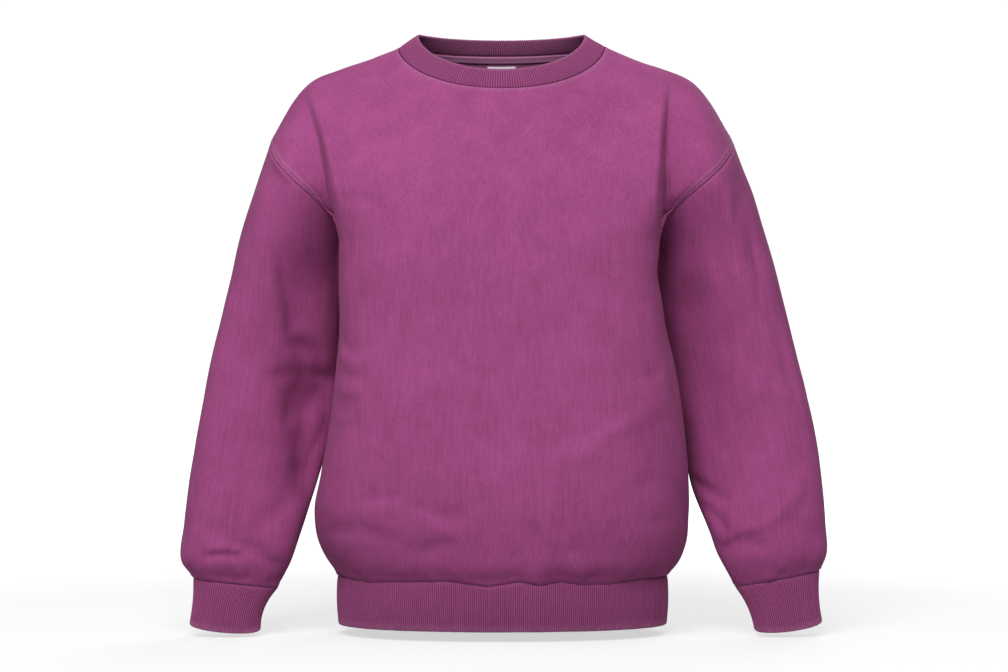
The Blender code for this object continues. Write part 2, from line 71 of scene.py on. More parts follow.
# Horizontal rings of the body: height, half width on the wearer's right and left, depth in front and
# behind, how square the ring is in front and behind (2 is an ellipse), and how far the side seams lie in.
BODY = np.array([
    [-624, 191, 194, 128, 121, 2.2, 2.2, 0],
    [-609, 200, 206, 137, 129, 2.3, 2.2, 0],
    [-586, 212, 216, 142, 134, 2.4, 2.3, 0],
    [-550, 218, 219, 146, 136, 2.6, 2.3, 0],
    [-500, 210, 218, 146, 134, 2.8, 2.3, 0],
    [-450, 201, 213, 142, 131, 3.0, 2.4, 1],
    [-390, 195, 205, 137, 129, 3.3, 2.4, 3],
    [-330, 189, 191, 132, 128, 3.7, 2.5, 6],
    [-275, 187.5, 179.5, 128, 129, 4.1, 2.5, 8],
    [-234, 187, 181, 124, 131, 4.3, 2.5, 8],
]) * [MM, MM, MM, MM, MM, 1, 1, MM]
NIP_HALF = 36 * MM

# Fine steps round a loop, a quarter of a ring and half a ring
LOOP_TURNS = np.linspace(0, 2 * np.pi, 721)[:-1]
QUARTER_TURNS = np.linspace(0, np.pi / 2, 361)
HALF_RING = np.linspace(-1, 1, 241)

# The seam between body and hem band rises and falls along the front: place across, lift. It fades out over
# a height above the seam, and over a distance ahead of the sides.
HEM_WAVE = np.array([
    [-190, 3], [-150, -1], [-110, 1], [-62, 3], [-16, -3], [19, 3], [45, -1], [66, 3], [90, -1], [125, -1],
    [158, 3], [190, 2],
]) * MM
HEM_WAVE_REACH = 30 * MM
HEM_WAVE_AHEAD = 40 * MM

# Loops of the neck: half width; y at front, side and back; z at front, side and back.
NECK_SEAM = np.array([121, -80, 3, 78, -60, 0, -8]) * MM
NECK_MIDDLE = np.array([107.5, -73.5, 3, 74, -47, 8, -1]) * MM
NECK_EDGE = np.array([97.5, -64, 4, 69, -36, 13.5, 10]) * MM
# How softly a loop of the neck goes over from its front to its back
NECK_TURN = 0.2

# The ridge of the shoulder from the neck seam out to the armhole: share of the way, x, z.
SHOULDER = np.array([
    [0.19, 155, -20.5], [0.38, 191, -32.5], [0.55, 220, -45.5], [0.72, 242, -69], [0.86, 257, -93.5],
    [1.00, 270, -116.5],
]) * [1, MM, MM]
NECK_SHARE = 0.4

# How far a panel's lines of cloth run straight: up from the chest, and down from the top line.
CHEST_REACH = 84 * MM
TOP_REACH = 58 * MM
# Which way they leave the top line, from the middle of the neck (0) by its side point to the armhole (1):
# share, out, ahead and down.
TOP_LEAN = {
    FRONT: np.array([
        [0, 0, 0.57, 0.82], [0.2, 0.35, 0.62, 0.68], [0.4, 0.6, 0.62, 0.42], [0.6, 0.35, 0.85, 0.3],
        [0.8, 0.08, 1, 0.1], [1, 0, 1, 0],
    ]),
    BACK: np.array([
        [0, 0, 0.62, 0.78], [0.2, 0.35, 0.66, 0.58], [0.4, 0.6, 0.72, 0.15], [0.6, 0.35, 0.92, 0.12],
        [0.8, 0.08, 1, 0.05], [1, 0, 1, 0],
    ]),
}
# Between these shares a line goes over into the armhole's curve. It leaves the underarm upwards and the
# shoulder downwards by a share of its depth, and bows out and down.
ARMHOLE_BLEND = (0.5, 1)
UNDERARM_LIFT = 0.34
SHOULDER_DROP = 0.31
ARMHOLE_BOW = np.array([0.81, 0, -0.59]) * 3.6 * MM
# The step over which the slope of the cloth at the underarm's height is measured
SLOPE_STEP = 5 * MM
# A line is evened out with its neighbours between these steps from its foot to its top: how far they lie,
# and their places and weights
EVEN_STEPS = (0.3, 0.72)
EVEN_REACH = 0.16
EVEN = [(-1, 0.1), (-0.66, 0.15), (-0.33, 0.17), (0, 0.16), (0.33, 0.17), (0.66, 0.15), (1, 0.1)]

# Rings of each sleeve, armhole to cuff seam: place along, outer x and z, inner x and z, half depth, and y of
# the outer and inner points. The inner side lies against the body, a little behind its widest line.
SLEEVES = {
    RIGHT: np.array([
        [0.00, -270, -116.5, -179, -234, 85, 0, 0],
        [0.11, -291, -182, -186, -256, 75, -1, 16],
        [0.21, -306, -234, -187.5, -287, 69, -3, 38],
        [0.34, -323, -304, -190.5, -337, 63, -6, 46],
        [0.47, -338, -370, -195, -396, 59, -10, 44],
        [0.60, -350, -434, -203, -456, 57, -15, 36],
        [0.73, -361, -498, -217, -518, 54, -21, 14],
        [0.86, -368.5, -560, -234, -574, 49, -27, -20],
        [0.95, -370, -605, -247, -611, 41, -32, -32],
        [1.00, -357, -624, -259, -635, 28, -34, -34],
    ]) * ([1] + 7 * [MM]),
    LEFT: np.array([
        [0.00, 270, -116.5, 173, -234, 85, 0, 0],
        [0.11, 295, -182, 180, -254, 76, -1, 21],
        [0.21, 311, -234, 179, -287, 69, -3, 41],
        [0.34, 329, -304, 190, -337, 63, -6, 46],
        [0.47, 346, -370, 202, -396, 59, -10, 44],
        [0.60, 361, -434, 213, -456, 57, -15, 36],
        [0.73, 371, -498, 222, -518, 54, -21, 14],
        [0.86, 376.5, -560, 242, -574, 49, -27, -20],
        [0.95, 376.5, -598, 255, -607, 41, -32, -32],
        [1.00, 369, -615, 270.5, -633.5, 28, -34, -34],
    ]) * ([1] + 7 * [MM]),
}
# The place along at which nothing of the armhole's form is left
ARMHOLE_FADE = 0.24

# Rings of each cuff below its seam, in the same columns without the place along. Each ring tips: its
# front hangs lower than its back by a share of its depth.
CUFFS = {
    RIGHT: np.array([
        [-357, -647, -273.5, -656, 24.5, -36, -36],
        [-361, -677, -279, -684, 22, -38, -38],
    ]) * MM,
    LEFT: np.array([
        [367, -643, 284.5, -656, 24.5, -36, -36],
        [371, -674, 293, -684, 22, -38, -38],
    ]) * MM,
}
CUFF_TIPS = [0.12, 0.26]

# Hem band: its lower ring in the body table's columns without the height.
HEM_EDGE = np.array([190, 192.5, 118, 112, 2.2, 2.15, 0]) * [MM, MM, MM, MM, 1, 1, MM]

# Largest folds, on the side they face: from x, z to x, z, bow across the line, half width (where there are
# two, the second is on the side of higher x of a line that runs down), and depth out of the cloth (ridges) or
# into it (troughs).
FOLDS = [
    (FRONT, -236, -250, -226, -470, 8, 24, -7),
    (FRONT, 220, -280, 234, -430, -6, 20, 26, -8),
    (FRONT, 262, -250, 290, -430, 5, 30, 5),
    (BACK, -206, -100, -188, -262, -5, 26, 16, -15),
    (BACK, 206, -100, 188, -262, 5, 16, 26, -15),
    (BACK, -176, -100, -158, -262, -5, 32, 6),
    (BACK, 176, -100, 158, -262, 5, 32, 6),
    (BACK, -60, -205, 70, -250, 12, 34, -4),
    (BACK, -268, -330, -300, -470, 8, 26, -6),
    (BACK, 278, -330, 306, -470, -8, 26, -6),
]
# Share of its length over which a fold fades out at each end
FOLD_FADE = 0.22
# Folds show where the cloth faces their side: from and to this part of its normal
FACING = (0.05, 0.45)

# The front's cloth hangs over at each armhole: folds in the same columns that go straight back into the
# garment, steep on the side of the chest.
TUCKS = [
    (FRONT, -229, -66, -187, -300, 11, 40, 5, -29),
    (FRONT, 195, -66, 181, -300, -3, 5, 40, -29),
]
TUCK_FADE = 0.4

# Creases of each piece and the side that they face, in the same columns. On the left and the right side the
# places across are y instead of x.
CREASES = {
    ("front", LEFT_SIDE): [(-74, -140, -74, -330, 0, 22, 4)],
    ("front", RIGHT_SIDE): [(-74, -140, -74, -330, 0, 22, 3)],
    ("front", FRONT): [
        (-184, -194, -133, -192, 2, 8.8, -1.4), (-184, -207, -140, -206, 2, 10, 0.9),
        (-186, -351, -145, -359, -2, 11.2, -1.6), (-190, -368, -150, -374, -2, 11.2, 1.2),
        (-188, -385, -152, -393, -2, 11.2, -1.9), (-192, -402, -158, -407, -2, 10, 1.1),
        (-193, -417, -158, -423, -2, 10, -1.6), (-193, -434, -163, -438, 2, 8.8, -1.4),
        (-196, -455, -158, -451, 2, 10, -1.6), (-200, -572, -132, -576, 9, 10, -2.6),
        (-156, -531, -112, -522, 3, 11.2, -2.3), (-100, -540, -38, -558, 4, 11.2, -2.4),
        (-106, -552, -48, -570, 4, 12.5, 1.8), (-90, -588, -50, -577, 3, 8.8, -1.8),
        (-136, -560, -66, -577, 5, 11.2, 1.9), (-27, -445, -17, -505, 4, 15, -1.8),
        (29, -552, 28, -612, 2, 10, -2.3), (47, -545, 52, -605, 0, 11.2, 1.4),
        (66, -550, 82, -595, -3, 11.2, -2.3), (60, -497, 186, -414, 6, 12.5, 2.4),
        (84, -470, 158, -420, 4, 10, -2.0), (150, -397, 184, -384, 2, 8.8, -1.5),
        (142, -506, 190, -562, -6, 12.5, -1.6), (152, -516, 208, -532, 5, 15, -1.4),
    ],
    ("sleeve_right", FRONT): [
        (-262, -130, -249, -278, -4, 13.2, -4.2), (-249, -262, -216, -390, -5, 12.1, -5.1),
        (-276, -170, -262, -330, -4, 16.5, 2.5), (-262, -382, -200, -402, 6, 11, -2.4),
        (-234, -345, -202, -405, 4, 10, -5.5), (-214, -384, -226, -530, -4, 20, 18, -15),
        (-252, -382, -238, -446, 4, 13.2, -4.2), (-344, -600, -294, -599, 4, 6.6, -2.9),
        (-340, -588, -300, -587, 4, 6.6, 2.0), (-297, -585, -255, -615, 4, 8.8, -3.7),
        (-354, -555, -313, -562, -2, 9.9, -2.4), (-312, -582, -268, -587, 5, 6.6, -2.2),
        (-283, -568, -237, -530, 4, 13.2, -3.4),
    ],
    ("sleeve_left", FRONT): [
        (249, -132, 236, -294, 3, 7.7, 1.9), (260, -150, 280, -296, -3, 7.7, 1.9),
        (246, -185, 252, -290, 0, 8.8, -2.5), (271, -160, 303, -304, 4, 8.8, -3.4),
        (300, -290, 343, -428, 6, 11, -3.9), (341, -418, 346, -505, 4, 15.4, -2.5),
        (272, -322, 250, -476, -8, 14.3, -2.9), (219, -509, 263, -538, 3, 7.7, -3.9),
        (240, -535, 256, -577, 3, 7.7, -3.4), (245, -594, 304, -590, 5, 8.8, -3.9),
        (256, -583, 297, -565, 4, 7.7, 2.5), (291, -569, 344, -513, -8, 9.9, 2.9),
        (316, -555, 367, -584, 4, 11, -2.0),
    ],
    ("back", BACK): [
        (-186, -362, -148, -368, -2, 12.5, -1.4), (-190, -412, -156, -420, -2, 11.2, -1.4),
        (186, -350, 150, -362, 3, 12.5, -1.4), (192, -396, 158, -402, 3, 11.2, -1.3),
        (-190, -566, -110, -574, 9, 11.2, -1.9), (-120, -540, -50, -562, 4, 12.5, -1.8),
        (40, -548, 96, -566, 5, 11.2, -1.8), (110, -520, 184, -560, 8, 13.8, -1.7),
        (-60, -320, 50, -335, 10, 20, -1.6), (-40, -400, 84, -384, -8, 18.8, 1.3),
        (-70, -560, -84, -606, 2, 10, -1.6), (12, -552, 8, -608, 2, 10, -1.6),
    ],
}
# They fade out towards the seams, and wander from their lines by up to this, over this length
CREASE_EDGE = 12 * MM
WANDER = 7 * MM
WANDER_WAVE = 34 * MM
# The cloth swells gently everywhere: height, size across and upwards in millimetres, and seed
SWELLS = [(1.1, 60, 75, 3), (0.45, 24, 30, 4)]

# Counts of cells
BODY_CELLS = 130
ARMHOLE_CELLS = 90
CURVE_STEPS = np.linspace(0, 1, ARMHOLE_CELLS + 1)
SHOULDER_CELLS = 60
NECK_CELLS = {FRONT: 80, BACK: 64}
SLEEVE_CELLS = 150
RIB_STEPS = 6
# Ribs of each band and its rows on its outside, round its folded edge and on its inside
BANDS = {
    "hem_band": (420, 13, 4, 6), "neckband": (220, 16, 5, 10),
    "cuff_right": (88, 16, 4, 8), "cuff_left": (88, 16, 4, 8),
}

# Ribs: range of their heights, how far and over what length they sway, and how blunt their tops are
RIB_UNEVEN = (0.78, 1.08)
RIB_SWAY = 0.5
RIB_WAVE = 9 * MM
RIB_BLUNT = 0.8
# Share of their height on the band's inside
RIB_INSIDE = 0.6
# How far, and over what distance, a band dips into its seam
BAND_DIP = 0.5 * MM
BAND_DIP_REACH = 2.4 * MM
# How far the hem band swells out between its edges
HEM_BELLY = 1.5 * MM

# Inside the back neck: the tape's edges and the label's top below the seam, and counts of rows
TAPE_FROM, TAPE_TO = 0.8 * MM, 10.8 * MM
TAPE_ROWS = 6
LABEL_HALF = 17 * MM
LABEL_TOP = 14.2 * MM
LABEL_HEIGHT = 42 * MM
LABEL_ROWS = 16
# Columns of the panel on each side of its middle that the label follows
LABEL_COLUMNS = 7

# Seams in millimetres. Relief: height, distance and half width. Pale rub: strength, distance and half width;
# it is abrasion, and at the hem and cuff seams also a painted highlight on the turned edge.
# Puckers that grow out of the seam: height, width and the distance at which they are highest.
SEAMS = {
    "side": ([(-0.5, 0, 1.3)], [], []),
    "armhole": (
        [(-0.3, 0, 1.3), (-0.28, 2.4, 0.8), (-0.28, 7.6, 0.8)], [(0.45, 2.4, 1.2), (0.45, 7.6, 1.2)], [],
    ),
    "top": ([(-0.4, 0, 1.3)], [(0.45, 2, 1.6)], [(0.4, 9, 6)]),
    # At the hem and the cuff the pale rub is partly a painted highlight, where the body's turned edge meets
    # the band
    "hem": ([(0.6, 2.6, 2), (-0.3, 0, 1.2)], [(1.1, 0.9, 1.1)], [(1.3, 13, 10), (0.8, 7, 5)]),
    "sleeve_top": ([(-0.25, 0, 1.3), (0.15, 4, 3)], [(0.25, 1, 1.2)], [(0.5, 10, 7)]),
    "cuff": ([(0.6, 2.4, 2), (-0.3, 0, 1.2)], [(1.1, 0.9, 1.1)], [(1.9, 12, 11), (0.9, 6.5, 5)]),
}
GATHER_LENGTH = 70 * MM
# Seam allowances under the cloth: height, from and to a distance, and the softness of the step
ALLOWANCE = (0.3 * MM, 0.6 * MM, 9.5 * MM, 1.2 * MM)
NECK_ALLOWANCE = (0.25 * MM, 1.2 * MM, 6 * MM, 2 * MM)
# The stitched edge puckers: size, and height and reach as above
PUCKER_SIZE = 6 * MM
PUCKERS = (0.32 * MM, 0, 14 * MM, 8 * MM)

# Stitches: distances of their rows from the armhole's and the neck's seam
STITCH_ROWS = [2.4 * MM, 7.6 * MM]
NECK_STITCH_ROWS = [1.6 * MM, 6.2 * MM]
# The rows of the front end this far above the underarm, where they go into its folds
STITCH_END = 44 * MM
# Pitch, share of it that a stitch fills, half thickness, how flat the thread lies and how high
STITCH = 3.1 * MM
STITCH_FILL = 0.86
THREAD = 0.34 * MM
THREAD_FLAT = 0.8
THREAD_RISE = 0.35
# A stitch's rings: place along it and thickness; and the points round it
STITCH_RINGS = [(-0.5, 0.45), (0.0, 1.0), (0.5, 0.45)]
STITCH_SIDES = 5

# Points of two pieces are at one place when they share a cell of this size; cells from one end to the other
PLACE_CELL = 0.01 * MM
PLACE_SPAN = 200000

# Lattice of the random waves, and their seeds
LATTICE = 32
WANDER_SEED = 21
SWAY_SEED = 11
SEEDS = {
    "front": 5, "back": 4, "sleeve_right": 12, "sleeve_left": 11,
    "hem_band": 8, "neckband": 8, "cuff_right": 10, "cuff_left": 9,
}

# Studio
FLOOR_Z = -0.691
FLOOR_HALF = 14.0
# The floor is plain white away from the garment: from and to a distance, and how much it glows there
FLOOR_GLOW = (1.0, 2.6, 0.62, 1.05)
AMBIENT = 0.34
# Lamps: place, the point that they face, size and power
KEY = ((-0.38, -2.25, 1.62), (0, -0.1, -0.25), 2.1, 74)
BEHIND = ((0.9, 2.6, 1.3), (0, 0.1, -0.3), 1.8, 34)

WHITE = (1, 1, 1, 1)
BACKGROUND = 1.05
FLOOR_GREY = (0.4, 0.4, 0.4, 1)
# Camera: focal length and sensor in millimetres, and place
CAMERA = (106.84, 36, (0.0029, -3.5, -0.344))

# Colours of the knit: plain, where it is dyed deepest, and pale, for abrasion and also for painted highlights
# and painted light
PLUM = (0.44, 0.092, 0.282)
PLUM_DEEP = (0.235, 0.042, 0.138)
PLUM_PALE = (0.58, 0.25, 0.45)
# Painted shade: the neckband's rib is a darker copy, all its colours times this
NECK_PAINTED_SHADE = 0.84
# Clouds, mottle, wales and grain: scale, detail and roughness of a noise, the range of it that counts, and
# its share of the tone
TONES = [
    (9, 3, 0.55, 0.35, 0.65, 0.14), (34, 5, 0.62, 0.34, 0.68, 0.22), (1, 3, 0.6, 0.3, 0.7, 0.3),
    (520, 3, 0.7, 0.3, 0.72, 0.42),
]
WALE_STRETCH = (420, 14)
KNIT_STRETCH = (1100, 700, 1)
# Patches where it is paler (abrasion, and the painted highlight at the hem and cuff seams): scale, detail and
# roughness of a noise, its range and what it gives there
PATCHES = (240, 3, 0.6)
PATCH_RANGE = (0.3, 0.7, 0.25, 1)
# Bumps of the knit and of a plain cloth: strength and height
KNIT_BUMP = (0.35, 0.4 * MM)
PLAIN_BUMP = (0.3, 0.3 * MM)
SHEEN = (1.0, 0.72, 0.9, 1)
# How much paler it is: inside (brushed, with painted light), on the ribs' tops (a painted highlight), along
# seams (abrasion, with a painted highlight at the hem and cuffs) and, as a share of that, on the bands
# Paler inside: the brushed back of the cloth, and painted light on the shaded inside of the neck
INSIDE_PALE_AND_PAINTED_LIGHT = 0.3
TOP_PAINTED_HIGHLIGHT = 0.26
RUB_AND_HIGHLIGHT_PALE = 0.75
BAND_PALE = 0.5
# Painted shade in the valleys of the ribs: their colour as a share of the deepest dye
VALLEY_PAINTED_SHADE = 0.9
# Plain cloths: pale and dark
THREAD_COLOURS = ((0.6, 0.27, 0.47), (0.42, 0.13, 0.3))
TAPE_COLOURS = ((0.56, 0.24, 0.43), (0.42, 0.14, 0.31))
LABEL_COLOURS = ((0.8, 0.78, 0.79), (0.66, 0.63, 0.65))


def read_table(table, where):
    """Values of a table's columns, smooth between its rows, at one value of its first column."""
    knots, values = table[:, 0], table[:, 1:]
    slopes = np.gradient(values, knots, axis=0)
    row = int(np.clip(np.searchsorted(knots, where, side="right") - 1, 0, len(knots) - 2))
    span = knots[row + 1] - knots[row]
    t = (where - knots[row]) / span
    start = values[row] * (2 * t**3 - 3 * t**2 + 1) + slopes[row] * span * (t**3 - 2 * t**2 + t)
    end = values[row + 1] * (3 * t**2 - 2 * t**3) + slopes[row + 1] * span * (t**3 - t**2)
    return start + end


def ease(value, low, high):
    """0 below low, 1 above high, and a soft step between."""
    t = np.clip((value - low) / (high - low), 0, 1)
    return t * t * (3 - 2 * t)


def bump(distance, middle, half_width):
    return np.exp(-(((distance - middle) / half_width) ** 2))


def unit(vectors):
    return vectors / np.maximum(np.linalg.norm(vectors, axis=-1, keepdims=True), 1e-12)


def curve(start, start_pull, end_pull, end):
    """Points of a cubic curve: an upright line above the underarm or half a ring of a sleeve."""
    t = CURVE_STEPS[:, None]
    return (
        start * (1 - t) ** 3
        + start_pull * 3 * t * (1 - t) ** 2
        + end_pull * 3 * t**2 * (1 - t)
        + end * t**3
    )


def run_along(points, axis):
    """Length from a line's first point, or a grid's first row (axis 0) or column (axis 1), to each point."""
    steps = np.linalg.norm(np.diff(points, axis=axis), axis=-1)
    start = np.zeros_like(np.take(steps, [0], axis=axis))
    return np.concatenate([start, np.cumsum(steps, axis=axis)], axis=axis)


def points_at(places, knots, line):
    """Points of a polyline at some places, where knots are the places of its own points."""
    return np.stack([np.interp(places, knots, line[:, axis]) for axis in range(3)], axis=-1)


def along(line, shares):
    """Points of a polyline at shares of its length."""
    travel = run_along(line, 0)
    return points_at(shares, travel / travel[-1], line)


def looped(loop):
    return np.vstack([loop, loop[:1]])


def quarter(side, facing, half, depth, square, nip, height, shares):
    """A quarter of a body ring, from the middle (share 0) to the side (share 1), evenly spaced."""
    fine = np.stack([
        side * half * np.sin(QUARTER_TURNS) ** (2 / square),
        facing * depth * np.cos(QUARTER_TURNS) ** (2 / square),
        np.full_like(QUARTER_TURNS, height),
    ], axis=1)
    fine[:, 0] -= side * nip * bump(fine[:, 1], 0, NIP_HALF)
    return along(fine, shares)


def body_half(facing, section, height, shares):
    """Front or back half of a body ring for shares from -1 (wearer's right) to 1 (left)."""
    right, left, front, back, square_front, square_back, nip = section
    depth, square = (front, square_front) if facing == FRONT else (back, square_back)
    on_right, on_left = (
        quarter(side, facing, half, depth, square, nip, height, np.abs(shares))
        for side, half in ((RIGHT, right), (LEFT, left))
    )
    return np.where(shares[:, None] < 0, on_right, on_left)


def neck_loop(loop, turns):
    """Points of a neck loop for turns from the front middle (0) by the left side to the back (pi)."""
    cos = np.cos(turns)
    ahead = (cos + np.sqrt(cos**2 + NECK_TURN**2)) / 2
    behind = (-cos + np.sqrt(cos**2 + NECK_TURN**2)) / 2
    columns = [loop[0] * np.sin(turns)]
    for front, side, back in (loop[1:4], loop[4:7]):
        columns.append(side + (front - side) * ahead + (back - side) * behind)
    return np.stack(columns, axis=1)


def top_point(facing, share):
    """Where one upright line of a panel ends: on the neck seam or on the shoulder ridge."""
    side = -1 if share < 0 else 1
    if abs(share) <= NECK_SHARE:
        turn = share / NECK_SHARE * np.pi / 2
        return neck_loop(NECK_SEAM, np.array([turn if facing == FRONT else np.pi - turn]))[0]
    neck_point = neck_loop(NECK_SEAM, np.array([np.pi / 2]))[0]
    ridge = np.vstack([[0, neck_point[0], neck_point[2]], SHOULDER])
    part = (abs(share) - NECK_SHARE) / (1 - NECK_SHARE)
    x, z = read_table(ridge, part)
    return np.array([side * x, neck_point[1] * (1 - part), z])


def ring_pull(side, facing, depth, lift=0, bow=0, tip=0):
    """How a half ring leaves its inner or outer point: forward or back, and a little up, out or down. With
    pulls of 4/3 of its depth at both ends a curve reaches that depth."""
    return (np.array([0, facing, lift + facing * tip]) * depth + ARMHOLE_BOW * [side, 1, 1] * bow) * 4 / 3


def upper_lines(facing, shares):
    """Upright lines of a panel from the underarm's height up to the neck and shoulders."""
    feet = body_half(facing, read_table(BODY, UNDERARM_Z), UNDERARM_Z, shares)
    below = UNDERARM_Z - SLOPE_STEP
    rise = (feet - body_half(facing, read_table(BODY, below), below, shares)) / SLOPE_STEP
    depth = SLEEVES[RIGHT][0, 5]
    columns = []
    for share, start, up in zip(shares, feet, rise * CHEST_REACH):
        side = ease(abs(share), *ARMHOLE_BLEND)
        hand = -1 if share < 0 else 1
        lean = read_table(TOP_LEAN[facing], abs(share)) * [hand, facing, -1]
        start_pull = up * (1 - side) + ring_pull(hand, facing, depth, UNDERARM_LIFT, 1) * side
        end_pull = unit(lean) * TOP_REACH * (1 - side)
        end_pull += ring_pull(hand, facing, depth, -SHOULDER_DROP, 1) * side
        end = top_point(facing, share)
        columns.append(curve(start, start + start_pull, end + end_pull, end))
    return np.stack(columns, axis=1)


def panel(facing):
    """Front or back panel: rows from the hem seam up the body, then up to the neck and shoulders. Each
    upper line is evened out with its neighbours, so no crease runs down from the neck's side."""
    shares = neck_columns(facing)
    rows = np.linspace(HEM_SEAM_Z, UNDERARM_Z, BODY_CELLS + 1)
    lower = [body_half(facing, read_table(BODY, z), z, shares) for z in rows]
    spread = np.minimum(EVEN_REACH, (1 - np.abs(shares)) / 2)
    even = sum(weight * upper_lines(facing, shares + spread * place) for place, weight in EVEN)
    rise, fall = ease(CURVE_STEPS, 0, EVEN_STEPS[0]), ease(CURVE_STEPS, EVEN_STEPS[1], 1)
    blend = (rise * (1 - fall))[:, None, None]
    upper = upper_lines(facing, shares) * (1 - blend) + even * blend
    points = np.concatenate([np.stack(lower), upper[1:]])
    if facing == FRONT:
        drop = np.clip((points[..., 2] - HEM_SEAM_Z) / HEM_WAVE_REACH, 0, 1)
        lift = np.interp(points[..., 0], HEM_WAVE[:, 0], HEM_WAVE[:, 1])
        points[..., 2] += lift * (1 - drop) * ease(-points[..., 1], 0, HEM_WAVE_AHEAD)
    return points


def sleeve_ring(side, row, armhole=0, tip=0):
    """One closed ring of a sleeve: inner point, round the front to the outer point, round the back.
    The first ring is the armhole, and its form fades out of those that follow."""
    x_outer, z_outer, x_inner, z_inner, depth, y_outer, y_inner = row
    outer = np.array([x_outer, y_outer, z_outer])
    inner = np.array([x_inner, y_inner, z_inner])
    halves = []
    for facing in (FRONT, BACK):
        inner_pull = ring_pull(side, facing, depth, UNDERARM_LIFT * armhole, armhole, tip)
        outer_pull = ring_pull(side, facing, depth, -SHOULDER_DROP * armhole, armhole, tip)
        halves.append(curve(inner, inner + inner_pull, outer + outer_pull, outer))
    return np.concatenate([halves[0], halves[1][-2:0:-1]])


def sleeve(side):
    return np.stack([
        sleeve_ring(side, read_table(SLEEVES[side], place), 1 - ease(place, 0, ARMHOLE_FADE))
        for place in np.linspace(0, 1, SLEEVE_CELLS + 1)
    ])


def neck_columns(facing):
    """Shares of the upright lines of a panel: shoulder, neck, shoulder."""
    left = np.linspace(NECK_SHARE, 1, SHOULDER_CELLS + 1)
    neck = np.linspace(-NECK_SHARE, NECK_SHARE, NECK_CELLS[facing] + 1)
    return np.concatenate([-left[::-1], neck[1:-1], left])


def neck_cells(facing):
    return slice(SHOULDER_CELLS, SHOULDER_CELLS + NECK_CELLS[facing] + 1)


def joined_loop(front, back):
    """A closed loop from the front middle by the left side and the back to the start."""
    middle = len(front) // 2
    return np.concatenate([front[middle:], back[-2::-1], front[1:middle]])


def closed(points, ring):
    """The grid with its first column repeated at the end where it is a ring."""
    return np.concatenate([points, points[:, :1]], axis=1) if ring else points


def place_keys(points):
    """One whole number for each place, so that points of two pieces at one place share theirs."""
    cells = np.round(points.reshape(-1, 3) / PLACE_CELL).astype(np.int64) + PLACE_SPAN // 2
    return (cells[:, 0] * PLACE_SPAN + cells[:, 1]) * PLACE_SPAN + cells[:, 2]


def outward(pieces):
    """Normals at the points of several grids, shared where two pieces meet at a seam."""
    keys, ways = [], []
    for points, ring, flip in pieces.values():
        grid = closed(points, ring)
        cells = [grid[:-1, :-1], grid[:-1, 1:], grid[1:, 1:], grid[1:, :-1]]
        for k in range(4):
            to_next, to_last = unit(cells[(k + 1) % 4] - cells[k]), unit(cells[k - 1] - cells[k])
            angle = np.arccos(np.clip(np.sum(to_next * to_last, axis=-1, keepdims=True), -1, 1))
            keys.append(place_keys(cells[k]))
            ways.append((unit(np.cross(to_next, to_last)) * angle * flip).reshape(-1, 3))
    places, index = np.unique(np.concatenate(keys), return_inverse=True)
    ways = np.concatenate(ways)
    sums = np.stack([np.bincount(index, ways[:, axis], len(places)) for axis in range(3)], axis=1)
    return {
        name: unit(sums[np.searchsorted(places, place_keys(points))]).reshape(points.shape)
        for name, (points, _, _) in pieces.items()
    }


def fold_push(points, normals, table, reach=FOLD_FADE, wander=0.0):
    """How far the folds of a table move each point out along its normal."""
    push = np.zeros(points.shape[:-1])
    sway = waves(points, WANDER_WAVE, WANDER_SEED) * wander
    for facing, x0, z0, x1, z1, bow, *halves, depth in table:
        across, ahead = (0, 1) if abs(facing) == 1 else (1, 0)
        flat = points[..., [across, 2]]
        start, end = np.array([x0, z0]) * MM, np.array([x1, z1]) * MM
        line = end - start
        length = np.linalg.norm(line)
        down = line / length
        aside = np.array([-down[1], down[0]])
        place = (flat - start) @ down / length
        bend = 4 * bow * MM * place * (1 - place)
        off = (flat - start) @ aside - bend - sway
        off = off / (np.where(off < 0, halves[0], halves[-1]) * MM)
        fade = ease(place, -reach / 2, reach) * (1 - ease(place, 1 - reach, 1 + reach / 2))
        facing_it = ease(np.sign(facing) * normals[..., ahead], *FACING)
        push += depth * MM * np.exp(-(off**2)) * fade * facing_it
    return push


def waves(points, sizes, seed):
    """Smooth random values from -1 to 1, which change over one size or over sizes (x, y, z)."""
    lattice = np.random.default_rng(seed).uniform(-1, 1, (LATTICE, LATTICE, LATTICE))
    place = points / np.array(sizes) + LATTICE
    cell = np.floor(place).astype(int)
    t = place - cell
    t = t * t * (3 - 2 * t)
    total = np.zeros(points.shape[:-1])
    for corner in np.ndindex(2, 2, 2):
        weight = np.prod(np.where(corner, t, 1 - t), axis=-1)
        x, y, z = np.moveaxis((cell + corner) % LATTICE, -1, 0)
        total += weight * lattice[x, y, z]
    return total


def seam_distances(points, ring):
    """Distance of each point from the first row, the last row and the nearer side column."""
    up = run_along(points, 0)
    across = run_along(points, 1)
    side = np.full(points.shape[:2], np.inf) if ring else np.minimum(across, across[:, -1:] - across)
    return up, up[-1:] - up, side


def plateau(distance, height, start, end, soft):
    rise = ease(distance, start - soft / 2, start + soft / 2)
    return height * (rise * (1 - ease(distance, end - soft / 2, end + soft / 2)))


def bumps(distance, rows):
    made = (amount * bump(distance, middle * MM, half_width * MM) for amount, middle, half_width in rows)
    return sum(made, np.zeros(distance.shape))


